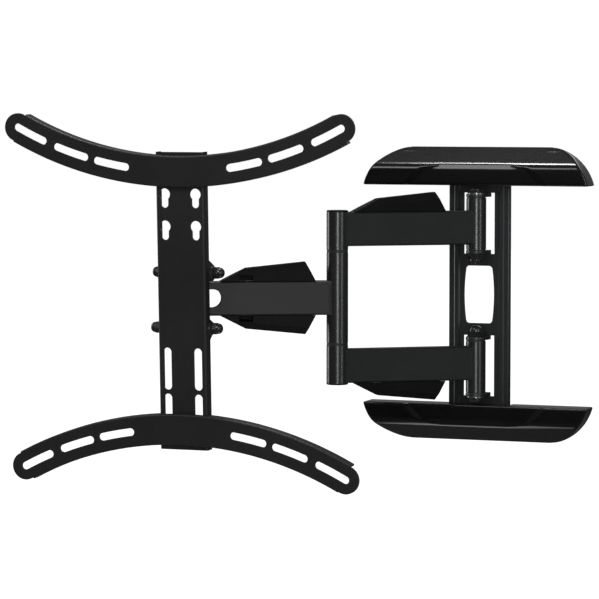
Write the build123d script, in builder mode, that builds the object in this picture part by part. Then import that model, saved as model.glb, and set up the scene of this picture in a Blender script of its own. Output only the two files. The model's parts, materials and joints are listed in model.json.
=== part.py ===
from build123d import *
from math import asin, atan2, cos, degrees, hypot, radians, sin, sqrt
import os

os.makedirs("parts", exist_ok=True)

# Full motion wall mount for a television. Millimetres, +Z up, +Y into the wall.
# The origin is on the wall face, on the line of the two wall pivots, at mid height.

# --- driving dimensions: the linkage as it stands at rest
arm_length = 170.0            # pivot to pivot, the same for both arms
wall_arm_angle = 34.2         # wall arms out from the wall
forearm_angle = 26.2          # forearm out from the wall
wall_pivot_y = -22.0          # wall pivot line in front of the wall
head_to_front = 39.4          # swivel axis behind the front face of the brackets

# --- arms: two stacked wall arms and one forearm, all of the same tube
arm_height = 40.0
arm_depth = 20.0
arm_wall = 2.0
arm_corner = 2.5
wall_arm_mid_z = 80.3

# --- wall channel, pressed from one sheet, with bent-out pivot tabs
channel_half_width = 37.5
channel_half_height = 164.0
channel_face_y = -10.0
channel_back_y = -3.0
channel_sheet = 3.5
rib_height = 1.2
rib_inner = 23.5
rib_outer = 31.0
rib_slope = 1.4
barrel_half_height = 34.2
barrel_end_half_width = 16.0
barrel_half_width = 18.6
barrel_corner = 4.5
window_half_width = 19.0
tab_half_width = 14.0
tab_tip_radius = 12.0
tab_low_z = 53.2              # upper face of the tab nearest mid height
tab_high_z = 116.3            # lower face of the outer tab
tab_bend = 4.0
relief_depth = 4.7

# --- wall rails, with slots for the wall bolts
rail_half_length = 112.0
rail_z = 148.0
rail_height = 30.0
rail_sheet = 3.0
rail_corner = 3.0
rail_lip = 8.0
rail_lip_start = 40.0
rail_slot_length = 24.0
rail_slot_width = 8.5
outer_slot_x = 92.0
inner_slot_x = 56.0

# --- wall covers
cover_depth = 32.8
cover_inner_z = 130.0
cover_top_z = 176.0
cover_bend_z = 153.5
cover_end_radius = 60.0
cover_flat_half = 80.0
cover_wall = 3.0
cover_base_wall = 2.0
cover_notch_half = 38.5
cover_notch_depth = 12.5
cover_bend_radius = 12.0
recess_depth = 1.2
recess_foot_half = 86.0
recess_shoulder_half = 66.0
recess_shoulder_height = 20.5
recess_crown_half = 42.0
recess_crown_height = 24.5
recess_corner = 14.0
clip_x = 90.0
clip_width = 14.0
clip_height = 8.0

# --- wall pivots
pivot_bolt_radius = 5.0
pivot_tube_radius = 11.8
pivot_tube_bore = 8.0
bush_flange = 1.0
bush_end_gap = 0.2            # end play between a bush and the tab beside it
bush_flange_inset = 0.8
pivot_bush_sleeve = 14.0
running_gap = 0.05
bolt_head_height = 5.0
bolt_head_flats = 16.0
pivot_washer_height = 1.5
pivot_washer_radius = 10.5
pivot_nut_hexagon = 7.0
pivot_nut_height = 14.0
nut_engagement = 9.0          # how far the pivot bolts reach into their dome nuts

# --- elbow
elbow_tube_radius = 12.7
elbow_tube_bore = 10.2
elbow_bolt_radius = 6.0
elbow_mid_half = 52.8
elbow_bush_flange = 1.4
elbow_washer_low = 54.4
elbow_washer_top = 56.2
elbow_seat_z = 89.0
elbow_nut_height = 7.0
elbow_cap_height = 2.0
elbow_cap_round = 1.2
elbow_plug_wall = 1.5
elbow_plug_depth = 2.5
elbow_bush_sleeve = 16.0

# --- cable covers: low end, shoulder, peak, tall end, measured along the arm
cable_length = 112.0
cable_shoulder = 30.0
cable_shoulder_height = 15.5
cable_peak = 100.0
cable_peak_height = 22.5
cable_wall = 2.0
cable_facet_drop = 8.0
cable_facet_width = 4.5
cable_outlet_length = 16.0
cable_outlet_height = 7.0
wall_cable_start = 17.9
forearm_cable_start = 138.2

# --- fork and head
fork_gap_half = 11.0
fork_notch_start = 136.1
head_barrel_radius = 7.6
head_barrel_half = 16.8
head_bolt_radius = 5.0
head_nut_height = 6.0
head_washer_radius = 9.5
head_washer_height = 1.0
head_sheet = 3.0
head_web_y = 14.0
head_web_half_height = 21.0
head_ear_outer = 26.6
head_ear_front_y = 12.5
head_ear_back_y = 40.5
head_ear_waist_y = 22.0
head_ear_margin = 9.0
neck_width = 10.0
neck_half_height = 10.0
tilt_pivot_y = 22.0
tilt_pivot_z = -33.0
lock_bolt_y = 30.0
lock_bolt_z = 31.0
rest_tilt = 2.3               # how far the television is tipped forward at rest
tilt_forward = 10.0
tilt_back = 2.0
tilt_bolt_radius = 4.0
lock_slot_gap = 0.3
cross_flats = 13.0
cross_head_height = 5.0
cross_washer_radius = 8.0
cross_washer_height = 1.4
friction_washer_height = 0.9
cross_nut_hexagon = 6.5
cross_nut_height = 13.0
cross_bolt_engagement = 8.0   # how far a tilt bolt reaches into its dome nut

# --- vertical bar
bar_half_width = 30.0
bar_front_y = 7.0
bar_back_y = 19.7
bar_sheet = 2.5
bar_top_z = 172.0
bar_low_z = -174.0
hole_column_x = 19.0
keyhole_tops = (130.0, 92.8)
keyhole_height = 22.5
keyhole_head_radius = 6.75
keyhole_neck_radius = 4.5
long_slot_length = 49.2
long_slot_width = 10.0
long_slot_z = (-79.6, -133.4)

# --- television brackets
vesa_half = 200.0             # the outer slots end on a 400 x 400 mm pattern
bracket_radius = 423.0
bracket_width = 36.0
bracket_sheet = 2.5
bracket_depth = 14.0
bracket_notch_half = 31.0
bracket_flange_angle = 27.95
bracket_slot_width = 9.0
bracket_outer_slot_start = 23.4
bracket_middle_slot = (15.86, 20.8)
bracket_inner_slot = (8.76, 13.67)
bracket_tip_radius = 16.5
stud_radius = 3.0
stud_end_y = 17.5
stud_hole_gap = 0.3
stud_washer_radius = 7.5
stud_washer_height = 1.2
stud_nut_flats = 10.0
stud_nut_height = 5.0

# --- places worked out from the driving dimensions
elbow_x = -arm_length * cos(radians(wall_arm_angle))
elbow_y = wall_pivot_y - arm_length * sin(radians(wall_arm_angle))
head_x = elbow_x - arm_length * cos(radians(forearm_angle))
head_y = elbow_y - arm_length * sin(radians(forearm_angle))
front_y = head_y - head_to_front
arm_top_z = wall_arm_mid_z + arm_height / 2
bracket_centre_z = vesa_half + sqrt(bracket_radius**2 - vesa_half**2)
bracket_outer_slot = (bracket_outer_slot_start, degrees(asin(vesa_half / bracket_radius)))
bracket_slots = (bracket_outer_slot, bracket_middle_slot, bracket_inner_slot)
stud_z = bracket_centre_z - bracket_radius

wall_arm_plane = Plane(
    origin=(elbow_x, elbow_y, 0),
    x_dir=(cos(radians(wall_arm_angle)), sin(radians(wall_arm_angle)), 0),
    z_dir=(0, 0, 1),
)
forearm_plane = Plane(
    origin=(elbow_x, elbow_y, 0),
    x_dir=(-cos(radians(forearm_angle)), -sin(radians(forearm_angle)), 0),
    z_dir=(0, 0, 1),
)


# --- planes
def level(x, y, z, up=1):
    """A horizontal plane at a point, facing up or down."""
    return Plane(origin=(x, y, z), x_dir=(1, 0, 0), z_dir=(0, 0, up))


def tv_plane(depth):
    """A plane parallel to the television, that far behind the bracket fronts, facing out."""
    return Plane(origin=(head_x, front_y + depth, 0), x_dir=(1, 0, 0), z_dir=(0, -1, 0))


def side_plane(x):
    """An upright plane across the head: its x is depth behind the bracket fronts, its y is Z."""
    return Plane(origin=(head_x + x, front_y, 0), x_dir=(0, 1, 0), z_dir=(1, 0, 0))


def cross_seat(side, x, depth, z):
    """A seat for a cross bolt, facing outwards on side +1 (right) or -1 (left)."""
    return Plane(
        origin=(head_x + side * x, front_y + depth, z), x_dir=(0, side, 0), z_dir=(side, 0, 0)
    )


# --- shared pieces
def arc_slot(path, width, mode):
    """A slot with round ends along an arc, added to or cut from the sketch in hand."""
    trace(path, line_width=width, mode=mode)
    with Locations(path @ 0, path @ 1):
        Circle(width / 2, mode=mode)


def keep(piece, name):
    piece.part.label = name
    export_step(piece.part, f"parts/{name}.step")


def mirrored(piece):
    """The same piece, upside down about mid height."""
    with BuildPart() as copy:
        mirror(piece.part, about=Plane.XY)
    return copy


def tipped(piece):
    """The same piece, tipped about the tilt pivot to where the television stands at rest."""
    pivot = Axis((head_x, front_y + tilt_pivot_y, tilt_pivot_z), (1, 0, 0))
    with BuildPart() as copy:
        add(piece.part.rotate(pivot, rest_tilt))
    return copy


def ring(seats, outer, inner, height):
    with BuildPart() as rings:
        for seat in seats:
            with BuildSketch(seat):
                Circle(outer)
                Circle(inner, mode=Mode.SUBTRACT)
            extrude(amount=height)
    return rings


def rod(seats, radius, length):
    with BuildPart() as rods:
        for seat in seats:
            with BuildSketch(seat):
                Circle(radius)
            extrude(amount=length)
    return rods


def bolt(seats, flats, head, radius, length):
    """Hexagon bolts: the head stands on its seat and the shank runs down through it."""
    with BuildPart() as bolts:
        for seat in seats:
            with BuildSketch(seat):
                RegularPolygon(flats / 2, 6, major_radius=False)
            extrude(amount=head)
            with BuildSketch(seat):
                Circle(radius)
            extrude(amount=-length)
    return bolts


def nut(seats, flats, height, bore):
    with BuildPart() as nuts:
        for seat in seats:
            with BuildSketch(seat):
                RegularPolygon(flats / 2, 6, major_radius=False)
                Circle(bore, mode=Mode.SUBTRACT)
            extrude(amount=height)
    return nuts


def dome_nut(seats, flats, hexagon, total, bore, depth):
    """Dome nuts: a hexagon, a rounded cap on it and a blind bore from the seat."""
    cap = flats / 2 - 0.4
    with BuildPart() as nuts:
        for seat in seats:
            with BuildPart(mode=Mode.PRIVATE) as one:
                with BuildSketch(seat):
                    RegularPolygon(flats / 2, 6, major_radius=False)
                extrude(amount=hexagon)
                with BuildSketch(seat.offset(hexagon)):
                    Circle(cap)
                extrude(amount=total - hexagon)
                fillet(one.faces().sort_by(Axis(seat.origin, seat.z_dir))[-1].edges(), cap * 0.8)
                with BuildSketch(seat):
                    Circle(bore)
                extrude(amount=depth, mode=Mode.SUBTRACT)
            add(one.part)
    return nuts


def flanged_bush(seats, flange_radius, flange, sleeve_radius, sleeve, bore):
    """Bushes: the flange stands on its seat and the sleeve runs down into the tube."""
    with BuildPart() as bushes:
        for seat in seats:
            with BuildSketch(seat):
                Circle(flange_radius)
                Circle(bore, mode=Mode.SUBTRACT)
            extrude(amount=flange)
            with BuildSketch(seat):
                Circle(sleeve_radius)
                Circle(bore, mode=Mode.SUBTRACT)
            extrude(amount=-sleeve)
    return bushes


# --- wall channel
def rib_points():
    """Front outline of the pressed sheet from its middle to its right edge."""
    face = channel_face_y
    crest = face - rib_height
    return [
        (0, face),
        (rib_inner, face),
        (rib_inner + rib_slope, crest),
        (rib_outer - rib_slope, crest),
        (rib_outer, face),
        (channel_half_width, face),
        (channel_half_width, channel_back_y),
        (channel_half_width - channel_sheet, channel_back_y),
        (channel_half_width - channel_sheet, face + channel_sheet),
        (0, face + channel_sheet),
    ]


def pivot_tab(inner_face, outward):
    """One tab with its bend: outward is +1 for the tab that stands above its window."""
    outer_face = inner_face + outward * channel_sheet
    root = outer_face + outward * tab_bend
    back = channel_face_y + channel_sheet
    tip = wall_pivot_y - tab_tip_radius
    with BuildPart() as tab:
        with BuildSketch(Plane.YZ) as profile:
            with BuildLine():
                Polyline(
                    (back, root),
                    (back, inner_face),
                    (tip, inner_face),
                    (tip, outer_face),
                    (channel_face_y, outer_face),
                    (channel_face_y, root),
                    close=True,
                )
            make_face()
            inner_bend = profile.vertices().group_by(Axis.X)[-1].sort_by(Axis.Y)
            fillet(inner_bend[0 if outward > 0 else -1], tab_bend)
        extrude(amount=tab_half_width, both=True)
        low_z = min(inner_face, root)
        with BuildSketch(level(0, 0, low_z)):
            with BuildLine():
                Polyline(
                    (-tab_half_width, back),
                    (-tab_half_width, channel_face_y),
                    (-tab_tip_radius, wall_pivot_y),
                    (tab_tip_radius, wall_pivot_y),
                    (tab_half_width, channel_face_y),
                    (tab_half_width, back),
                    close=True,
                )
            make_face()
            with Locations((0, wall_pivot_y)):
                Circle(tab_tip_radius)
        extrude(amount=abs(root - inner_face), mode=Mode.INTERSECT)
    return tab


def wall_channel():
    window_mid = (tab_low_z + tab_high_z) / 2
    window_height = tab_high_z - tab_low_z
    with BuildPart() as channel:
        with BuildSketch(Plane.XY.offset(-channel_half_height)):
            with BuildLine():
                Polyline(*rib_points())
                mirror(about=Plane.YZ)
            make_face()
        extrude(amount=2 * channel_half_height)
        outer_edges = channel.edges().filter_by(Axis.Z)
        for row in (outer_edges.group_by(Axis.X)[0], outer_edges.group_by(Axis.X)[-1]):
            fillet(row.sort_by(Axis.Y)[0], 2.0)
        # the barrel shaped window at mid height
        with BuildSketch(Plane.XZ) as barrel:
            with BuildLine():
                for side in (1, -1):
                    ThreePointArc(
                        (side * barrel_end_half_width, -barrel_half_height),
                        (side * barrel_half_width, 0),
                        (side * barrel_end_half_width, barrel_half_height),
                    )
                    Line(
                        (-barrel_end_half_width, side * barrel_half_height),
                        (barrel_end_half_width, side * barrel_half_height),
                    )
            make_face()
            fillet(barrel.vertices(), barrel_corner)
        extrude(amount=-2 * channel_face_y, mode=Mode.SUBTRACT)
        # one window behind each pivot, with relief cuts beside the bent tabs
        for end in (1, -1):
            with BuildSketch(Plane.XZ):
                with Locations((0, end * window_mid)):
                    Rectangle(2 * tab_half_width, window_height)
                with Locations(
                    ((window_half_width + tab_half_width) / 2, end * window_mid),
                    (-(window_half_width + tab_half_width) / 2, end * window_mid),
                ):
                    Rectangle(window_half_width - tab_half_width, window_height + 2 * relief_depth)
            extrude(amount=-2 * channel_face_y, mode=Mode.SUBTRACT)
        for tab in (pivot_tab(tab_high_z, 1), pivot_tab(tab_low_z, -1)):
            add(tab.part)
            mirror(tab.part, about=Plane.XY)
        with BuildSketch(level(0, wall_pivot_y, -channel_half_height)):
            Circle(pivot_bolt_radius + 2 * running_gap)
        extrude(amount=2 * channel_half_height, mode=Mode.SUBTRACT)
    return channel


# --- wall rail
def wall_rail():
    lip_length = rail_half_length - rail_lip_start
    lip_mid = (rail_half_length + rail_lip_start) / 2
    lip_z = rail_height / 2 - rail_sheet / 2
    with BuildPart() as rail:
        with BuildSketch(Plane.XZ):
            with Locations((0, rail_z)):
                RectangleRounded(2 * rail_half_length, rail_height, rail_corner)
        extrude(amount=rail_sheet)
        with BuildSketch(Plane.XZ):
            with Locations(
                *[(side * lip_mid, rail_z + end * lip_z) for side in (1, -1) for end in (1, -1)]
            ):
                Rectangle(lip_length - 2 * rail_corner, rail_sheet)
        extrude(amount=rail_lip)
        with BuildSketch(Plane.XZ):
            with Locations(
                *[(side * x, rail_z) for side in (1, -1) for x in (inner_slot_x, outer_slot_x)]
            ):
                SlotOverall(rail_slot_length, rail_slot_width)
        extrude(amount=rail_sheet, mode=Mode.SUBTRACT)
    return rail


# --- wall cover
def cover_mass(inset, base):
    """The cover as a solid, drawn in from its outside by inset, standing on z = base."""
    slope = (cover_top_z - cover_bend_z) / cover_depth
    drop = inset * hypot(1, slope)
    radius = cover_end_radius - inset
    top = cover_top_z - inset
    arc_z = cover_top_z - cover_end_radius
    half = cover_flat_half + sqrt(radius**2 - (base - arc_z) ** 2)
    front = inset - cover_depth
    with BuildPart() as mass:
        with BuildSketch(Plane.XZ):
            with BuildLine():
                Line((-half, base), (half, base))
                TangentArc((cover_flat_half, top), (half, base), tangent=(1, 0))
                Line((cover_flat_half, top), (-cover_flat_half, top))
                TangentArc((-cover_flat_half, top), (-half, base), tangent=(-1, 0))
            make_face()
        extrude(amount=-front)
        with BuildSketch(Plane.YZ) as section:
            with BuildLine():
                Polyline(
                    (0, base),
                    (front, base),
                    (front, cover_top_z - drop + front * slope),
                    (0, cover_top_z - drop),
                    close=True,
                )
            make_face()
            bend = section.vertices().group_by(Axis.X)[0].sort_by(Axis.Y)[-1]
            fillet(bend, cover_bend_radius - inset)
        extrude(amount=half, both=True, mode=Mode.INTERSECT)
    return mass


def recess_panel():
    """The shallow panel in the front of the cover, as a block through its whole depth."""
    below = cover_inner_z - cover_wall
    with BuildPart() as panel:
        with BuildSketch(Plane.XZ) as arch:
            with BuildLine():
                Polyline(
                    (-recess_foot_half, below),
                    (-recess_foot_half, cover_inner_z),
                    (-recess_shoulder_half, cover_inner_z + recess_shoulder_height),
                    (-recess_crown_half, cover_inner_z + recess_crown_height),
                    (recess_crown_half, cover_inner_z + recess_crown_height),
                    (recess_shoulder_half, cover_inner_z + recess_shoulder_height),
                    (recess_foot_half, cover_inner_z),
                    (recess_foot_half, below),
                    close=True,
                )
            make_face()
            corners = arch.vertices().filter_by(lambda v: v.Y > cover_inner_z + recess_depth)
            fillet(corners, recess_corner)
        extrude(amount=cover_depth)
    return panel


def wall_cover():
    rail_top = rail_z + rail_height / 2
    with BuildPart() as recessed:
        add(cover_mass(recess_depth, cover_inner_z).part)
        add(recess_panel().part, mode=Mode.INTERSECT)
    with BuildPart() as cover:
        add(cover_mass(0, cover_inner_z).part)
        add(recess_panel().part, mode=Mode.SUBTRACT)
        add(recessed.part)
        add(cover_mass(cover_wall, cover_inner_z + cover_base_wall).part, mode=Mode.SUBTRACT)
        # the wall channel passes through a notch in the base
        with BuildSketch(level(0, 0, cover_inner_z)):
            with Locations((0, -cover_notch_depth / 2)):
                Rectangle(2 * cover_notch_half, cover_notch_depth)
        extrude(amount=cover_base_wall, mode=Mode.SUBTRACT)
        # two moulded clips that grip the top lip of the rail
        with BuildSketch(Plane.XZ):
            for side in (1, -1):
                with Locations((side * clip_x, rail_top + clip_height / 2)):
                    Rectangle(clip_width, clip_height)
        extrude(amount=rail_lip)
    return cover


# --- arms
def round_long_edges(tube, plane):
    along = tube.edges().filter_by(Axis(plane.origin, plane.x_dir))
    fillet(along, arm_corner)


def wall_arm_tube():
    """The upper wall arm: a rectangular tube coped onto the round tube at each end."""
    low_z = arm_top_z - arm_height
    with BuildPart() as tube:
        with BuildSketch(wall_arm_plane.offset(low_z)):
            with Locations((arm_length / 2, 0)):
                Rectangle(arm_length, arm_depth)
        extrude(amount=arm_height)
        round_long_edges(tube, wall_arm_plane)
        with BuildSketch(wall_arm_plane.offset(low_z + arm_wall)):
            with Locations((arm_length / 2, 0)):
                Rectangle(arm_length, arm_depth - 2 * arm_wall)
        extrude(amount=arm_height - 2 * arm_wall, mode=Mode.SUBTRACT)
        with BuildSketch(wall_arm_plane.offset(low_z)):
            Circle(elbow_tube_radius)
            with Locations((arm_length, 0)):
                Circle(pivot_tube_radius)
        extrude(amount=arm_height, mode=Mode.SUBTRACT)
    return tube


def forearm_tube():
    """The forearm: coped onto the elbow tube, with a fork cut in the end at the head."""
    low_z = -arm_height / 2
    with BuildPart() as tube:
        with BuildSketch(forearm_plane.offset(low_z)):
            with Locations((arm_length / 2, 0)):
                Rectangle(arm_length, arm_depth)
            with Locations((arm_length, 0)):
                Circle(arm_depth / 2)
        extrude(amount=arm_height)
        round_long_edges(tube, forearm_plane)
        with BuildSketch(forearm_plane.offset(low_z + arm_wall)):
            with Locations((arm_length / 2 + arm_depth / 2, 0)):
                Rectangle(arm_length + arm_depth, arm_depth - 2 * arm_wall)
        extrude(amount=arm_height - 2 * arm_wall, mode=Mode.SUBTRACT)
        notch_mid = fork_notch_start + fork_gap_half
        fork_side = Plane(
            origin=forearm_plane.origin, x_dir=forearm_plane.x_dir, z_dir=-forearm_plane.y_dir
        )
        with BuildSketch(fork_side):
            with Locations((notch_mid, 0)):
                Circle(fork_gap_half)
            with Locations((notch_mid + arm_length / 4, 0)):
                Rectangle(arm_length / 2, 2 * fork_gap_half)
        extrude(amount=arm_depth, both=True, mode=Mode.SUBTRACT)
        with BuildSketch(forearm_plane.offset(low_z)):
            Circle(elbow_tube_radius)
            with Locations((arm_length, 0)):
                Circle(head_bolt_radius + running_gap)
        extrude(amount=arm_height, mode=Mode.SUBTRACT)
    return tube


# --- cable covers
def cable_wedge(side, inset, beyond):
    """A faceted wedge on an upright plane along the arm; beyond runs it out at the tall end."""
    rise = cable_shoulder_height / cable_shoulder
    with BuildPart() as wedge:
        with BuildSketch(side):
            with BuildLine():
                Polyline(
                    (inset * hypot(1, rise) / rise, 0),
                    (cable_shoulder + inset * rise, cable_shoulder_height - inset),
                    (cable_peak + beyond, cable_peak_height - inset),
                    (cable_length + beyond, 0),
                    close=True,
                )
            make_face()
        extrude(amount=arm_depth / 2 - inset, both=True)
        top = wedge.faces().sort_by(Axis.Z)[-1]
        ridges = top.edges().sort_by(SortBy.LENGTH)[-2:]
        chamfer(ridges, cable_facet_width, cable_facet_drop, reference=top)
    return wedge


def cable_cover(arm, low_end, along, base, hidden_side):
    """A hollow cable cover on top of an arm: open underneath and at its tall end."""
    direction = arm.x_dir * along
    side = Plane(
        origin=arm.origin + arm.x_dir * low_end + Vector(0, 0, base),
        x_dir=direction,
        z_dir=direction.cross(Vector(0, 0, 1)),
    )
    with BuildPart() as cover:
        add(cable_wedge(side, 0, 0).part)
        add(cable_wedge(side, cable_wall, cable_wall * 6).part, mode=Mode.SUBTRACT)
        # cable outlet in the side wall towards the wall plate, near the low end
        with BuildSketch(side):
            with Locations((cable_shoulder, cable_outlet_height / 2)):
                Rectangle(cable_outlet_length, cable_outlet_height)
        extrude(amount=hidden_side * arm_depth, mode=Mode.SUBTRACT)
    return cover


# --- head: swivel barrel and U bracket
def head_barrel():
    """The swivel barrel with the neck that is welded to the back of the bracket's web."""
    back_of_web = head_web_y + head_sheet
    neck_length = head_to_front - back_of_web
    with BuildPart() as barrel:
        with BuildSketch(level(head_x, head_y, -head_barrel_half)):
            Circle(head_barrel_radius)
        extrude(amount=2 * head_barrel_half)
        with BuildSketch(level(head_x, head_y - neck_length / 2, -neck_half_height)):
            Rectangle(neck_width, neck_length)
        extrude(amount=2 * neck_half_height)
        with BuildSketch(level(head_x, head_y, -head_barrel_half)):
            Circle(head_bolt_radius + running_gap)
        extrude(amount=2 * head_barrel_half, mode=Mode.SUBTRACT)
    return barrel


def lock_arc(tilt):
    """Where the lock bolt stands in the head bracket when the television is tipped by tilt."""
    reach_y = lock_bolt_y - tilt_pivot_y
    reach_z = lock_bolt_z - tilt_pivot_z
    return degrees(atan2(reach_z, reach_y)) + tilt


def head_bracket():
    reach = hypot(lock_bolt_y - tilt_pivot_y, lock_bolt_z - tilt_pivot_z)
    lock_path = CenterArc(
        (tilt_pivot_y, tilt_pivot_z), reach, lock_arc(-tilt_back), tilt_back + tilt_forward
    )
    with BuildPart() as bracket:
        for inner in (head_ear_outer - head_sheet, -head_ear_outer):
            with BuildSketch(side_plane(inner)) as ear:
                with BuildLine():
                    Polyline(
                        (head_web_y, -head_web_half_height),
                        (head_ear_front_y, -head_web_half_height - 2),
                        (head_ear_front_y, tilt_pivot_z - 8),
                        (head_ear_front_y + 3, tilt_pivot_z - head_ear_margin),
                        (tilt_pivot_y + 5, tilt_pivot_z - head_ear_margin),
                        (tilt_pivot_y + head_ear_margin, tilt_pivot_z - 4),
                        (tilt_pivot_y + head_ear_margin, tilt_pivot_z + 9),
                        (head_ear_waist_y, -head_web_half_height),
                        (head_ear_waist_y, head_web_half_height),
                        (head_ear_back_y, head_web_half_height + 2.5),
                        (head_ear_back_y, lock_bolt_z + 7),
                        (head_ear_back_y - 4, lock_bolt_z + head_ear_margin),
                        (head_ear_front_y + 3, lock_bolt_z + head_ear_margin),
                        (head_ear_front_y, lock_bolt_z + 7),
                        (head_ear_front_y, head_web_half_height + 2),
                        (head_web_y, head_web_half_height),
                        close=True,
                    )
                make_face()
                fillet(ear.vertices(), 1.2)
            extrude(amount=head_sheet)
        with BuildSketch(tv_plane(head_web_y + head_sheet)):
            Rectangle(2 * head_ear_outer - 2 * head_sheet, 2 * head_web_half_height)
        extrude(amount=head_sheet)
        with BuildSketch(side_plane(-bar_half_width)):
            with Locations((tilt_pivot_y, tilt_pivot_z)):
                Circle(tilt_bolt_radius + running_gap)
            arc_slot(lock_path, 2 * (tilt_bolt_radius + lock_slot_gap), Mode.ADD)
        extrude(amount=2 * bar_half_width, mode=Mode.SUBTRACT)
    return bracket


# --- vertical bar
def bar_ear(ear, depth, z, radius, low, high):
    """Outline of one ear: a round lobe about its bolt, drawn in to the flange of the bar."""
    with Locations((depth, z)):
        Circle(radius)
    with Locations((bar_back_y - 1.5, (low + high) / 2)):
        Rectangle(1.0, high - low)
    make_hull(ear.edges())


def vertical_bar():
    bar_mid_z = (bar_top_z + bar_low_z) / 2
    with BuildPart() as bar:
        with BuildSketch(level(head_x, front_y, bar_low_z)) as section:
            with Locations((0, (bar_front_y + bar_back_y) / 2)):
                Rectangle(2 * bar_half_width, bar_back_y - bar_front_y)
            fillet(section.vertices().group_by(Axis.Y)[0], 3.0)
            with Locations((0, (bar_front_y + bar_sheet + bar_back_y) / 2)):
                Rectangle(
                    2 * (bar_half_width - bar_sheet),
                    bar_back_y - bar_front_y - bar_sheet,
                    mode=Mode.SUBTRACT,
                )
        extrude(amount=bar_top_z - bar_low_z)
        for inner in (bar_half_width - bar_sheet, -bar_half_width):
            with BuildSketch(side_plane(inner)) as lock_ear:
                bar_ear(lock_ear, lock_bolt_y, lock_bolt_z, 9.5, 22.5, 47.0)
            extrude(amount=bar_sheet)
            with BuildSketch(side_plane(inner)) as pivot_ear:
                bar_ear(pivot_ear, tilt_pivot_y, tilt_pivot_z, 9.0, -47.0, -22.0)
            extrude(amount=bar_sheet)
        with BuildSketch(side_plane(-bar_half_width)):
            with Locations((tilt_pivot_y, tilt_pivot_z), (lock_bolt_y, lock_bolt_z)):
                Circle(tilt_bolt_radius + running_gap)
        extrude(amount=2 * bar_half_width, mode=Mode.SUBTRACT)
        with BuildSketch(tv_plane(bar_front_y + bar_sheet)):
            for side in (1, -1):
                x = side * hole_column_x
                for top in keyhole_tops:
                    head_z = top - keyhole_head_radius
                    foot_z = top - keyhole_height + keyhole_neck_radius
                    with Locations((x, head_z)):
                        Circle(keyhole_head_radius)
                    with Locations((x, foot_z)):
                        Circle(keyhole_neck_radius)
                    with Locations((x, (head_z + foot_z) / 2)):
                        Rectangle(2 * keyhole_neck_radius, head_z - foot_z)
                with Locations(*[(x, z) for z in long_slot_z]):
                    SlotOverall(long_slot_length, long_slot_width, rotation=90)
                with Locations((x, stud_z)):
                    Circle(stud_radius + stud_hole_gap)
        extrude(amount=bar_sheet, mode=Mode.SUBTRACT)
    return bar


# --- television brackets
def bracket_arc(radius):
    """An arc of the bracket between the ends of its flanges."""
    return CenterArc(
        (0, bracket_centre_z), radius, 270 - bracket_flange_angle, 2 * bracket_flange_angle
    )


def tv_bracket():
    """The upper bracket: a curved channel whose ends run out as flat slotted tabs."""
    half = bracket_width / 2
    flange_mid = half - bracket_sheet / 2
    slot_paths = []
    for inner, outer in bracket_slots:
        for start in (270 + inner, 270 - outer):
            slot_paths.append(
                CenterArc((0, bracket_centre_z), bracket_radius, start, outer - inner)
            )
    with BuildPart() as bracket:
        with BuildSketch(tv_plane(bracket_sheet)):
            with BuildLine():
                bracket_arc(bracket_radius)
            trace(line_width=bracket_width)
            with Locations((0, bracket_centre_z)):
                with PolarLocations(bracket_radius, 1, 270 - bracket_slots[0][1]):
                    Circle(bracket_tip_radius)
                with PolarLocations(bracket_radius, 1, 270 + bracket_slots[0][1]):
                    Circle(bracket_tip_radius)
            for path in slot_paths:
                arc_slot(path, bracket_slot_width, Mode.SUBTRACT)
        extrude(amount=bracket_sheet)
        for radius in (bracket_radius + flange_mid, bracket_radius - flange_mid):
            with BuildSketch(tv_plane(bracket_depth)):
                with BuildLine():
                    bracket_arc(radius)
                trace(line_width=bracket_sheet)
            extrude(amount=bracket_depth - bracket_sheet)
        # the flanges are cut back where the bar crosses behind the bracket
        with BuildSketch(tv_plane(bracket_depth)):
            with Locations((0, stud_z)):
                Rectangle(2 * bracket_notch_half, 2 * bracket_width)
        extrude(amount=bracket_depth - bar_front_y, mode=Mode.SUBTRACT)
        front = bracket.faces().sort_by(Axis.Y)[0]
        fillet(front.edges().filter_by(GeomType.CIRCLE).sort_by(SortBy.LENGTH)[-2:], 2.0)
    return bracket


# --- build and write every piece: wall plate
keep(wall_channel(), "wall_channel")
upper_rail = wall_rail()
keep(upper_rail, "upper_wall_rail")
keep(mirrored(upper_rail), "lower_wall_rail")
upper_cover = wall_cover()
keep(upper_cover, "upper_wall_cover")
keep(mirrored(upper_cover), "lower_wall_cover")

pivot_head_z = tab_high_z + channel_sheet + pivot_washer_height
pivot_nut_z = tab_low_z - channel_sheet
upper_pivot_bolt = bolt(
    [level(0, wall_pivot_y, pivot_head_z)],
    bolt_head_flats,
    bolt_head_height,
    pivot_bolt_radius,
    pivot_head_z - pivot_nut_z + nut_engagement,
)
keep(upper_pivot_bolt, "upper_wall_pivot_bolt")
keep(mirrored(upper_pivot_bolt), "lower_wall_pivot_bolt")
keep(
    ring(
        [
            level(0, wall_pivot_y, up * (tab_high_z + channel_sheet), up)
            for up in (1, -1)
        ],
        pivot_washer_radius,
        pivot_bolt_radius + running_gap,
        pivot_washer_height,
    ),
    "wall_pivot_washers",
)
keep(
    dome_nut(
        [level(0, wall_pivot_y, up * pivot_nut_z, -up) for up in (1, -1)],
        bolt_head_flats,
        pivot_nut_hexagon,
        pivot_nut_height,
        pivot_bolt_radius,
        nut_engagement + 0.5,
    ),
    "wall_pivot_dome_nuts",
)

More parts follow.
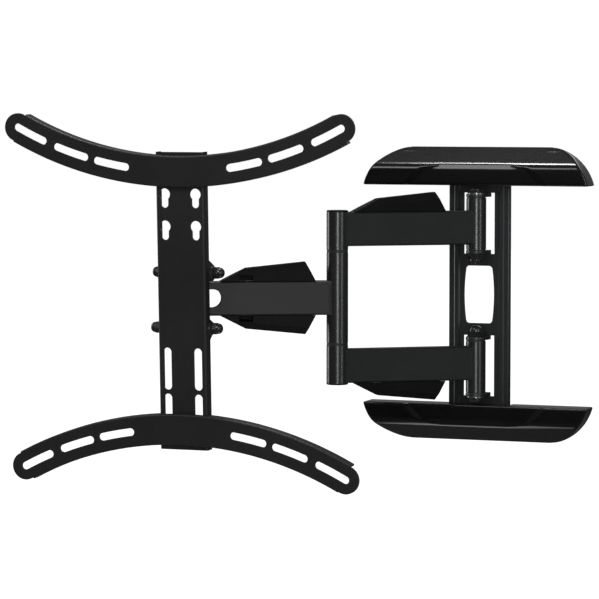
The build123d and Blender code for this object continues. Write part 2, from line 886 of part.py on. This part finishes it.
# --- wall arms
upper_arm = wall_arm_tube()
keep(upper_arm, "upper_wall_arm")
keep(mirrored(upper_arm), "lower_wall_arm")
pivot_tube_low = tab_low_z + bush_flange + bush_end_gap
pivot_tube_top = tab_high_z - bush_flange - bush_end_gap
upper_pivot_tube = ring(
    [level(0, wall_pivot_y, pivot_tube_low)],
    pivot_tube_radius,
    pivot_tube_bore,
    pivot_tube_top - pivot_tube_low,
)
keep(upper_pivot_tube, "upper_wall_pivot_tube")
keep(mirrored(upper_pivot_tube), "lower_wall_pivot_tube")
keep(
    flanged_bush(
        [level(0, wall_pivot_y, side * pivot_tube_low, -side) for side in (1, -1)]
        + [level(0, wall_pivot_y, side * pivot_tube_top, side) for side in (1, -1)],
        pivot_tube_radius - bush_flange_inset,
        bush_flange,
        pivot_tube_bore,
        pivot_bush_sleeve,
        pivot_bolt_radius + running_gap,
    ),
    "wall_pivot_bushes",
)
upper_elbow_tube = ring(
    [level(elbow_x, elbow_y, elbow_washer_top)],
    elbow_tube_radius,
    elbow_tube_bore,
    arm_top_z - elbow_washer_top,
)
keep(upper_elbow_tube, "upper_elbow_tube")
keep(mirrored(upper_elbow_tube), "lower_elbow_tube")
keep(
    ring(
        [level(elbow_x, elbow_y, up * elbow_washer_top, up) for up in (1, -1)],
        elbow_tube_bore,
        elbow_bolt_radius + running_gap,
        elbow_seat_z - elbow_washer_top,
    ),
    "elbow_spacers",
)
keep(
    ring(
        [level(elbow_x, elbow_y, up * elbow_washer_low, up) for up in (1, -1)],
        elbow_tube_radius - 0.2,
        elbow_bolt_radius + running_gap,
        elbow_washer_top - elbow_washer_low,
    ),
    "elbow_thrust_washers",
)
keep(
    bolt(
        [level(elbow_x, elbow_y, elbow_seat_z)],
        bolt_head_flats,
        bolt_head_height,
        elbow_bolt_radius,
        2 * elbow_seat_z + elbow_nut_height,
    ),
    "elbow_bolt",
)
keep(
    nut(
        [level(elbow_x, elbow_y, -elbow_seat_z, -1)],
        bolt_head_flats,
        elbow_nut_height,
        elbow_bolt_radius,
    ),
    "elbow_nut",
)


def elbow_caps():
    """Push-in plastic caps: a disc on the tube end and a plug that grips its bore."""
    with BuildPart() as caps:
        for up in (1, -1):
            seat = level(elbow_x, elbow_y, up * arm_top_z, up)
            with BuildPart(mode=Mode.PRIVATE) as cap:
                with BuildSketch(seat):
                    Circle(elbow_tube_radius)
                extrude(amount=elbow_cap_height)
                rim = cap.faces().sort_by(Axis(seat.origin, seat.z_dir))[-1].edges()
                fillet(rim, elbow_cap_round)
                with BuildSketch(seat):
                    Circle(elbow_tube_bore)
                    Circle(elbow_tube_bore - elbow_plug_wall, mode=Mode.SUBTRACT)
                extrude(amount=-elbow_plug_depth)
            add(cap.part)
    return caps


keep(elbow_caps(), "elbow_end_caps")
upper_arm_cover = cable_cover(wall_arm_plane, wall_cable_start, 1, arm_top_z, -1)
keep(upper_arm_cover, "upper_wall_arm_cable_cover")
keep(mirrored(upper_arm_cover), "lower_wall_arm_cable_cover")

# --- forearm
keep(forearm_tube(), "forearm_tube")
keep(
    ring(
        [level(elbow_x, elbow_y, -elbow_mid_half)],
        elbow_tube_radius,
        elbow_tube_bore,
        2 * elbow_mid_half,
    ),
    "forearm_elbow_tube",
)
keep(
    flanged_bush(
        [level(elbow_x, elbow_y, up * elbow_mid_half, up) for up in (1, -1)],
        elbow_tube_radius - 0.3,
        elbow_bush_flange,
        elbow_tube_bore,
        elbow_bush_sleeve,
        elbow_bolt_radius + running_gap,
    ),
    "elbow_bushes",
)
upper_forearm_cover = cable_cover(forearm_plane, forearm_cable_start, -1, arm_height / 2, 1)
keep(upper_forearm_cover, "upper_forearm_cable_cover")
keep(mirrored(upper_forearm_cover), "lower_forearm_cable_cover")
head_seat_z = arm_height / 2 + head_washer_height
keep(
    bolt(
        [level(head_x, head_y, head_seat_z)],
        bolt_head_flats,
        bolt_head_height,
        head_bolt_radius,
        2 * head_seat_z + head_nut_height + 1.0,
    ),
    "head_pivot_bolt",
)
keep(
    nut(
        [level(head_x, head_y, -head_seat_z, -1)],
        bolt_head_flats,
        head_nut_height,
        head_bolt_radius,
    ),
    "head_pivot_nut",
)
keep(
    ring(
        [level(head_x, head_y, up * arm_height / 2, up) for up in (1, -1)],
        head_washer_radius,
        head_bolt_radius + running_gap,
        head_washer_height,
    ),
    "head_pivot_washers",
)

# --- head
keep(head_barrel(), "head_barrel")
keep(head_bracket(), "head_bracket")
keep(
    ring(
        [level(head_x, head_y, up * head_barrel_half, up) for up in (1, -1)],
        head_barrel_radius - 0.2,
        head_bolt_radius + running_gap,
        arm_height / 2 - arm_wall - head_barrel_half - 2 * running_gap,
    ),
    "head_friction_washers",
)


def cross_fasteners(depth, z):
    """Bolt, friction washer, washer and dome nut on both sides of one cross axis."""
    sides = (1, -1)
    head_face = head_ear_outer - head_sheet - running_gap
    washer_face = bar_half_width
    nut_face = washer_face + cross_washer_height
    shank = nut_face + cross_bolt_engagement - head_face
    bolts = bolt(
        [cross_seat(-side, -head_face, depth, z) for side in sides],
        cross_flats,
        cross_head_height,
        tilt_bolt_radius,
        shank,
    )
    friction = ring(
        [cross_seat(side, head_ear_outer, depth, z) for side in sides],
        cross_washer_radius,
        tilt_bolt_radius + running_gap,
        friction_washer_height,
    )
    flat = ring(
        [cross_seat(side, washer_face, depth, z) for side in sides],
        cross_washer_radius,
        tilt_bolt_radius + running_gap,
        cross_washer_height,
    )
    domes = dome_nut(
        [cross_seat(side, nut_face, depth, z) for side in sides],
        cross_flats,
        cross_nut_hexagon,
        cross_nut_height,
        tilt_bolt_radius,
        cross_bolt_engagement + 1.0,
    )
    return {"bolts": bolts, "friction_washers": friction, "washers": flat, "dome_nuts": domes}


for name, piece in cross_fasteners(tilt_pivot_y, tilt_pivot_z).items():
    keep(piece, f"tilt_pivot_{name}")

# --- television plate, tipped forward with everything on it
for name, piece in cross_fasteners(lock_bolt_y, lock_bolt_z).items():
    keep(tipped(piece), f"tilt_lock_{name}")
keep(tipped(vertical_bar()), "vertical_bar")
upper_bracket = tv_bracket()
keep(tipped(upper_bracket), "upper_tv_bracket")
keep(tipped(mirrored(upper_bracket)), "lower_tv_bracket")


def stud_seats(depth):
    return [
        Plane(origin=(head_x + side * hole_column_x, front_y + depth, stud_z), z_dir=(0, 1, 0))
        for side in (1, -1)
    ]


bar_back = bar_front_y + bar_sheet
studs = rod(stud_seats(bracket_sheet), stud_radius, stud_end_y - bracket_sheet)
washers = ring(
    stud_seats(bar_back), stud_washer_radius, stud_radius + running_gap, stud_washer_height
)
nuts = nut(
    stud_seats(bar_back + stud_washer_height), stud_nut_flats, stud_nut_height, stud_radius
)
for piece, name in ((studs, "studs"), (washers, "washers"), (nuts, "nuts")):
    keep(tipped(piece), f"upper_bracket_{name}")
    keep(tipped(mirrored(piece)), f"lower_bracket_{name}")
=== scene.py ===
import json
from math import atan2, cos, radians, sin, tau

import bpy
import bmesh
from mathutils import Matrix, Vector


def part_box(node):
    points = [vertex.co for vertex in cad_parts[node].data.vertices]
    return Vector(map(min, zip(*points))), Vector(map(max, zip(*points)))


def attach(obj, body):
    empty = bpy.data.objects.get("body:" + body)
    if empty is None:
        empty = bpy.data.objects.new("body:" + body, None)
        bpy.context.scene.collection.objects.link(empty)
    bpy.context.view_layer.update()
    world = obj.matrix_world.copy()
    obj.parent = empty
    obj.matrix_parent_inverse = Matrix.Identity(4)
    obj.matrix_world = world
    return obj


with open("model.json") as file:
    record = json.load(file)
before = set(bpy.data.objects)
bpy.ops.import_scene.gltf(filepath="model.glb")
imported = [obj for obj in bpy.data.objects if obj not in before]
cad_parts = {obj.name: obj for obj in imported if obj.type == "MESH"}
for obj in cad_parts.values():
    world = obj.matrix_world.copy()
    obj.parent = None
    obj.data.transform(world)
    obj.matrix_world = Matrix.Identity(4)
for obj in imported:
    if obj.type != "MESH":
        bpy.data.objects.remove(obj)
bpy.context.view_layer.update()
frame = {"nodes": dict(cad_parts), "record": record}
nodes = frame["nodes"]

# Lengths are metres in the frame of the CAD parts: +Z up, the wall behind at y = 0, and the
# television side towards -Y.
scene = bpy.context.scene
link_to_scene = scene.collection.objects.link

# --- camera
camera_place = (1.05807, -3.5382, 0.2410)
degrees_below_level = 3.842
degrees_towards_minus_x = 20.012
camera_data = bpy.data.cameras.new("camera")
camera_data.sensor_width = 36.0
camera_data.lens = 186.33
camera_data.clip_end = 60.0
camera = bpy.data.objects.new("camera", camera_data)
link_to_scene(camera)
camera.location = camera_place
camera.rotation_euler = (radians(90 - degrees_below_level), 0, radians(degrees_towards_minus_x))
scene.camera = camera

# plain display colours, so that whites stay white
scene.view_settings.view_transform = "Standard"


# --- shader building blocks
def make_node(tree, kind, **values):
    """A shader node with its own settings filled in."""
    node = tree.nodes.new(kind)
    for key, value in values.items():
        setattr(node, key, value)
    return node


def map_range(tree, value, to_min, to_max, from_min=0.0, from_max=1.0):
    """A value moved from one range to another, and held inside it."""
    node = make_node(tree, "ShaderNodeMapRange")
    node.inputs["From Min"].default_value = from_min
    node.inputs["From Max"].default_value = from_max
    node.inputs["To Min"].default_value = to_min
    node.inputs["To Max"].default_value = to_max
    tree.links.new(value, node.inputs["Value"])
    return node.outputs["Result"]


def product(tree, first, second):
    """Two values multiplied."""
    node = make_node(tree, "ShaderNodeMath", operation="MULTIPLY")
    tree.links.new(first, node.inputs[0])
    tree.links.new(second, node.inputs[1])
    return node.outputs[0]


def object_noise(tree, scale, detail):
    """Noise fixed to the object."""
    coords = make_node(tree, "ShaderNodeTexCoord")
    noise = make_node(tree, "ShaderNodeTexNoise")
    noise.inputs["Scale"].default_value = scale
    noise.inputs["Detail"].default_value = detail
    tree.links.new(coords.outputs["Object"], noise.inputs["Vector"])
    return noise.outputs["Fac"]


noise_low = 0.3
noise_high = 0.7


def spread(tree, noise, low, high):
    """Noise stretched to run from a low to a high value."""
    return map_range(tree, noise, low, high, noise_low, noise_high)


def mixed(tree, amount, first, second):
    """Two colours, or links to colours, mixed by a value."""
    node = make_node(tree, "ShaderNodeMix", data_type="RGBA")
    tree.links.new(amount, node.inputs["Factor"])
    for key, value in (("A", first), ("B", second)):
        socket = [s for s in node.inputs if s.name == key and s.type == "RGBA"][0]
        if hasattr(value, "node"):
            tree.links.new(value, socket)
        else:
            socket.default_value = (*value, 1)
    return [s for s in node.outputs if s.type == "RGBA"][0]


flat_agreement = 0.995
edge_agreement = 0.80


def edge_mask(tree, radius):
    """1 on edges and 0 on flats, from how far rounded and true normals agree."""
    bevel = make_node(tree, "ShaderNodeBevel", samples=6)
    bevel.inputs["Radius"].default_value = radius
    geometry = make_node(tree, "ShaderNodeNewGeometry")
    agreement = make_node(tree, "ShaderNodeVectorMath", operation="DOT_PRODUCT")
    tree.links.new(bevel.outputs["Normal"], agreement.inputs[0])
    tree.links.new(geometry.outputs["Normal"], agreement.inputs[1])
    return map_range(tree, agreement.outputs["Value"], 0.0, 1.0, flat_agreement, edge_agreement)


# --- finishes
cloud_scale = 14.0
cloud_detail = 4.0
grain_detail = 3.0
grain_height = 0.0002
# the weakest share of the painted edge highlight, where the clouds are lowest
least_painted_highlight = 0.45


def finish_material(
    name, dark, light, painted_edge_highlight, edge_radius, rough, grain, bump, specular=0.5, metal=0.0
):
    """A surface with cloudy colour, fine grain, uneven gloss and a painted highlight on its
    edges.
    """
    material = bpy.data.materials.new(name)
    material.use_nodes = True
    tree = material.node_tree
    shader = tree.nodes["Principled BSDF"]
    shader.inputs["Metallic"].default_value = metal
    shader.inputs["Specular IOR Level"].default_value = specular

    clouds = object_noise(tree, cloud_scale, cloud_detail)
    base = mixed(tree, spread(tree, clouds, 0.0, 1.0), dark, light)
    # painted highlight: edges are lightened in the colour, more where the clouds are high, in
    # place of the light that rounded edges catch
    painted_highlight_amount = product(tree, edge_mask(tree, edge_radius), spread(tree, clouds, least_painted_highlight, 1.0))
    tree.links.new(mixed(tree, painted_highlight_amount, base, painted_edge_highlight), shader.inputs["Base Color"])

    fine = object_noise(tree, grain, grain_detail)
    tree.links.new(spread(tree, fine, *rough), shader.inputs["Roughness"])
    bumps = make_node(tree, "ShaderNodeBump")
    bumps.inputs["Strength"].default_value = bump
    bumps.inputs["Distance"].default_value = grain_height
    tree.links.new(fine, bumps.inputs["Height"])
    tree.links.new(bumps.outputs["Normal"], shader.inputs["Normal"])
    return material


# the edge colour given to each finish is a painted highlight
bracket_paint = finish_material(
    "bracket_powder_coat", dark=(0.0085, 0.0085, 0.0088), light=(0.0120, 0.0120, 0.0124),
    painted_edge_highlight=(0.045, 0.045, 0.047), edge_radius=0.0009,
    rough=(0.42, 0.54), grain=2600.0, bump=0.35, specular=0.28,
)
forearm_paint = finish_material(
    "forearm_powder_coat", dark=(0.0095, 0.0095, 0.0098), light=(0.0130, 0.0130, 0.0134),
    painted_edge_highlight=(0.055, 0.055, 0.057), edge_radius=0.0012,
    rough=(0.42, 0.54), grain=2600.0, bump=0.3, specular=0.28,
)
arm_paint = finish_material(
    "arm_powder_coat", dark=(0.0068, 0.0078, 0.0078), light=(0.0095, 0.0108, 0.0108),
    painted_edge_highlight=(0.03, 0.032, 0.033), edge_radius=0.0010,
    rough=(0.36, 0.46), grain=2400.0, bump=0.25, specular=0.22,
)
tube_paint = finish_material(
    "tube_satin_paint", dark=(0.0065, 0.0072, 0.0075), light=(0.0095, 0.0105, 0.0108),
    painted_edge_highlight=(0.035, 0.036, 0.037), edge_radius=0.0006,
    rough=(0.22, 0.32), grain=1800.0, bump=0.15, specular=0.6,
)
plate_paint = finish_material(
    "plate_powder_coat", dark=(0.008, 0.009, 0.0095), light=(0.012, 0.0132, 0.0138),
    painted_edge_highlight=(0.06, 0.064, 0.066), edge_radius=0.0008,
    rough=(0.30, 0.42), grain=2400.0, bump=0.22, specular=0.45,
)
gloss_cover = finish_material(
    "moulded_gloss_black", dark=(0.0028, 0.0028, 0.0031), light=(0.0040, 0.0040, 0.0044),
    painted_edge_highlight=(0.012, 0.012, 0.013), edge_radius=0.0006,
    rough=(0.13, 0.20), grain=900.0, bump=0.05, specular=0.25,
)
cable_plastic = finish_material(
    "moulded_matte_black", dark=(0.0022, 0.0021, 0.0024), light=(0.0036, 0.0035, 0.0038),
    painted_edge_highlight=(0.022, 0.022, 0.023), edge_radius=0.0007,
    rough=(0.40, 0.50), grain=3200.0, bump=0.30, specular=0.07,
)
bearing_plastic = finish_material(
    "bearing_plastic", dark=(0.010, 0.010, 0.011), light=(0.017, 0.017, 0.018),
    painted_edge_highlight=(0.03, 0.03, 0.032), edge_radius=0.0005,
    rough=(0.40, 0.52), grain=1500.0, bump=0.15, specular=0.3,
)
dark_zinc = finish_material(
    "dark_zinc_plate", dark=(0.14, 0.14, 0.145), light=(0.22, 0.22, 0.225),
    painted_edge_highlight=(0.45, 0.45, 0.46), edge_radius=0.0005,
    rough=(0.20, 0.32), grain=1400.0, bump=0.12, metal=0.9,
)
black_zinc = finish_material(
    "black_zinc_plate", dark=(0.030, 0.030, 0.032), light=(0.050, 0.050, 0.053),
    painted_edge_highlight=(0.15, 0.15, 0.155), edge_radius=0.0005,
    rough=(0.16, 0.26), grain=1400.0, bump=0.12, metal=0.7,
)

# the finish of every CAD node: by its material slot, unless the node is named below
finish_of_slot = {
    "gloss_cover": gloss_cover,
    "cable_cover_plastic": cable_plastic,
    "bearing_plastic": bearing_plastic,
    "bracket_paint": bracket_paint,
    "forearm_paint": forearm_paint,
    "arm_paint": arm_paint,
    "fastener_steel": dark_zinc,
}
finish_of_node = {
    "upper_wall_pivot_tube": tube_paint,
    "lower_wall_pivot_tube": tube_paint,
    "upper_elbow_tube": tube_paint,
    "lower_elbow_tube": tube_paint,
    "forearm_elbow_tube": tube_paint,
    "wall_channel": plate_paint,
    "upper_wall_rail": plate_paint,
    "lower_wall_rail": plate_paint,
    "tilt_pivot_dome_nuts": black_zinc,
    "tilt_lock_dome_nuts": black_zinc,
    "wall_pivot_dome_nuts": black_zinc,
    "tilt_pivot_bolts": black_zinc,
    "tilt_lock_bolts": black_zinc,
    "upper_wall_pivot_bolt": black_zinc,
    "lower_wall_pivot_bolt": black_zinc,
}
slot_of = {row["node"]: row["material_slot"] for row in frame["record"]["subparts"]}
for name, obj in nodes.items():
    obj.data.materials.clear()
    obj.data.materials.append(finish_of_node.get(name, finish_of_slot[slot_of[name]]))


# --- rounded edges
def add_modifier(obj, kind, **values):
    """A modifier with its own settings filled in."""
    added = obj.modifiers.new(kind.lower(), kind)
    for key, value in values.items():
        setattr(added, key, value)


same_vertex = 0.00001
coplanar_angle = radians(0.5)
sharp_angle = radians(35)
edge_width_of = {
    "upper_wall_arm_cable_cover": 0.0008,
    "lower_wall_arm_cable_cover": 0.0008,
    "upper_forearm_cable_cover": 0.0008,
    "lower_forearm_cable_cover": 0.0008,
    "wall_channel": 0.0005,
    "upper_wall_pivot_bolt": 0.0005,
    "lower_wall_pivot_bolt": 0.0005,
    "head_pivot_bolt": 0.0005,
    "head_bracket": 0.0004,
    "tilt_pivot_dome_nuts": 0.0004,
    "tilt_lock_dome_nuts": 0.0004,
    "wall_pivot_dome_nuts": 0.0004,
    "upper_bracket_nuts": 0.0004,
    "lower_bracket_nuts": 0.0004,
}
for name, width in edge_width_of.items():
    obj = nodes[name]
    add_modifier(obj, "WELD", merge_threshold=same_vertex)
    add_modifier(obj, "DECIMATE", decimate_type="DISSOLVE", angle_limit=coplanar_angle)
    add_modifier(
        obj, "BEVEL", width=width, segments=3, limit_method="ANGLE", angle_limit=sharp_angle,
        harden_normals=True,
    )

# the moulded wall covers: their edges and recesses melt into each other
cover_grid = 0.0009
cover_smoothing = 24
for name in ("upper_wall_cover", "lower_wall_cover"):
    obj = nodes[name]
    add_modifier(obj, "WELD", merge_threshold=same_vertex)
    add_modifier(obj, "REMESH", mode="VOXEL", voxel_size=cover_grid, use_smooth_shade=True)
    add_modifier(obj, "SMOOTH", factor=0.5, iterations=cover_smoothing)

# --- weld beads where the arms meet their tubes
arm_half_depth = 0.010
bead_offset = 0.98          # of the half depth, so that a bead lies in the corner
bead_end_gap = 0.0025
bead_size = 0.0017
bead_ripple = 0.0003
bead_steps = 40
steps_per_ripple = 2.5
bead_sides = 10
bead_end_taper = 0.45


def ring_round(work, centre, out, size):
    """A ring of vertices round a point of an upright bead."""
    across = Vector((-out.y, out.x, 0))
    ring = []
    for side in range(bead_sides):
        turn = tau * side / bead_sides
        ring.append(work.verts.new(centre + size * (out * cos(turn) + across * sin(turn))))
    return ring


def upright_bead(work, foot, out, height):
    """One rippled bead that rises from its foot on a tube."""
    rings = []
    for step in range(bead_steps + 1):
        size = bead_size + bead_ripple * sin(step * tau / steps_per_ripple)
        if step in (0, bead_steps):
            size *= bead_end_taper
        centre = foot + Vector((0, 0, height * step / bead_steps))
        rings.append(ring_round(work, centre, out, size))
    for below, above in zip(rings, rings[1:]):
        for side in range(bead_sides):
            following = (side + 1) % bead_sides
            work.faces.new((below[side], below[following], above[following], above[side]))
    work.faces.new(list(reversed(rings[0])))
    work.faces.new(rings[-1])


def weld(name, tube, towards, arm, body, material):
    """The beads along both upright edges of an arm end, on the side towards another node."""
    tube_low, tube_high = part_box(tube)
    axis = (tube_low + tube_high) / 2
    radius = (tube_high.x - tube_low.x) / 2
    goal_low, goal_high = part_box(towards)
    goal = (goal_low + goal_high) / 2
    arm_low, arm_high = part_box(arm)
    foot_level = arm_low.z + bead_end_gap
    height = arm_high.z - bead_end_gap - foot_level
    heading = atan2(goal.y - axis.y, goal.x - axis.x)
    half_angle = bead_offset * arm_half_depth / radius
    work = bmesh.new()
    for angle in (heading - half_angle, heading + half_angle):
        out = Vector((cos(angle), sin(angle), 0))
        foot = Vector((axis.x, axis.y, foot_level)) + radius * out
        upright_bead(work, foot, out, height)
    bmesh.ops.recalc_face_normals(work, faces=work.faces)
    mesh = bpy.data.meshes.new(name)
    work.to_mesh(mesh)
    work.free()
    for polygon in mesh.polygons:
        polygon.use_smooth = True
    obj = bpy.data.objects.new(name, mesh)
    link_to_scene(obj)
    obj.data.materials.append(material)
    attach(obj, body)


elbow = "forearm_elbow_tube"
wall_pivot = "upper_wall_pivot_tube"
for level in ("upper", "lower"):
    arm = f"{level}_wall_arm"
    weld(f"{level}_elbow_weld", elbow, wall_pivot, arm, "wall_arms", arm_paint)
    weld(f"{level}_pivot_weld", wall_pivot, elbow, arm, "wall_arms", arm_paint)
weld("forearm_elbow_weld", elbow, "head_pivot_bolt", "forearm_tube", "forearm", forearm_paint)

# --- floor: pale, brighter to the camera where it runs out behind, and dimmer in reflections
floor_level = -0.80
floor_reach = 16.0
floor_grey = 0.80
floor_grey_in_reflections = 0.12
glow_start = 0.8
glow_full = 2.6
glow_strength = 0.95
corners = [
    (x * floor_reach, y * floor_reach, floor_level)
    for x, y in ((-1, -1), (1, -1), (1, 1), (-1, 1))
]
floor_mesh = bpy.data.meshes.new("floor")
floor_mesh.from_pydata(corners, [], [(0, 1, 2, 3)])
floor = bpy.data.objects.new("floor", floor_mesh)
link_to_scene(floor)
floor_material = bpy.data.materials.new("pale_floor")
floor_material.use_nodes = True
tree = floor_material.node_tree
floor_shader = tree.nodes["Principled BSDF"]
floor_shader.inputs["Roughness"].default_value = 0.9
floor_shader.inputs["Specular IOR Level"].default_value = 0.1
floor_shader.inputs["Emission Color"].default_value = (1, 1, 1, 1)
coords = make_node(tree, "ShaderNodeTexCoord")
split = make_node(tree, "ShaderNodeSeparateXYZ")
tree.links.new(coords.outputs["Object"], split.inputs["Vector"])
rays = make_node(tree, "ShaderNodeLightPath")
glow = map_range(tree, split.outputs["Y"], 0.0, glow_strength, glow_start, glow_full)
seen_glow = product(tree, glow, rays.outputs["Is Camera Ray"])
tree.links.new(seen_glow, floor_shader.inputs["Emission Strength"])
grey = map_range(tree, rays.outputs["Is Glossy Ray"], floor_grey, floor_grey_in_reflections)
tree.links.new(grey, floor_shader.inputs["Base Color"])
floor.data.materials.append(floor_material)

# --- surroundings: white seen directly, a dim room for everything else
seen_strength = 1.0
room_strength = 0.20
world = bpy.data.worlds.new("studio")
scene.world = world
world.use_nodes = True
tree = world.node_tree
tree.nodes.clear()
seen = make_node(tree, "ShaderNodeBackground")
seen.inputs["Color"].default_value = (1, 1, 1, 1)
seen.inputs["Strength"].default_value = seen_strength
room = make_node(tree, "ShaderNodeBackground")
room.inputs["Color"].default_value = (0.96, 0.98, 1, 1)
room.inputs["Strength"].default_value = room_strength
rays = make_node(tree, "ShaderNodeLightPath")
blend = make_node(tree, "ShaderNodeMixShader")
tree.links.new(rays.outputs["Is Camera Ray"], blend.inputs["Fac"])
tree.links.new(room.outputs["Background"], blend.inputs[1])
tree.links.new(seen.outputs["Background"], blend.inputs[2])
output = make_node(tree, "ShaderNodeOutputWorld")
tree.links.new(blend.outputs["Shader"], output.inputs["Surface"])


# --- soft lights: place, the point they face, width and height, and power in watts
def softbox(name, place, aim, width, height, power):
    """A soft rectangular light that the camera doesn't see."""
    light = bpy.data.lights.new(name, "AREA")
    light.shape = "RECTANGLE"
    light.size = width
    light.size_y = height
    light.energy = power
    obj = bpy.data.objects.new(name, light)
    link_to_scene(obj)
    obj.location = place
    direction = Vector(aim) - Vector(place)
    obj.rotation_euler = direction.to_track_quat("-Z", "Y").to_euler()
    obj.visible_camera = False


softbox("key_box", (-0.40, 0.02, 2.05), (-0.02, -0.02, 0.15), width=0.40, height=0.46, power=38)
softbox("camera_box", (1.15, -3.1, 0.35), (-0.1, -0.1, 0.0), width=0.45, height=1.6, power=30)
softbox("left_box", (-2.6, 0.1, 0.5), (-0.2, -0.1, 0.0), width=0.5, height=2.2, power=22)
softbox("right_box", (2.4, -1.1, 0.5), (-0.1, -0.1, 0.0), width=0.4, height=2.0, power=12)
softbox("front_box", (-1.2, -2.6, 1.9), (-0.1, -0.1, 0.0), width=1.2, height=0.8, power=30)
softbox("low_box", (-0.17, -0.14, -0.74), (0.0, -0.1, 0.0), width=0.50, height=0.18, power=1.2)
softbox("back_box", (0.6, 2.4, 1.6), (-0.1, 0.0, 0.2), width=1.6, height=1.2, power=10)
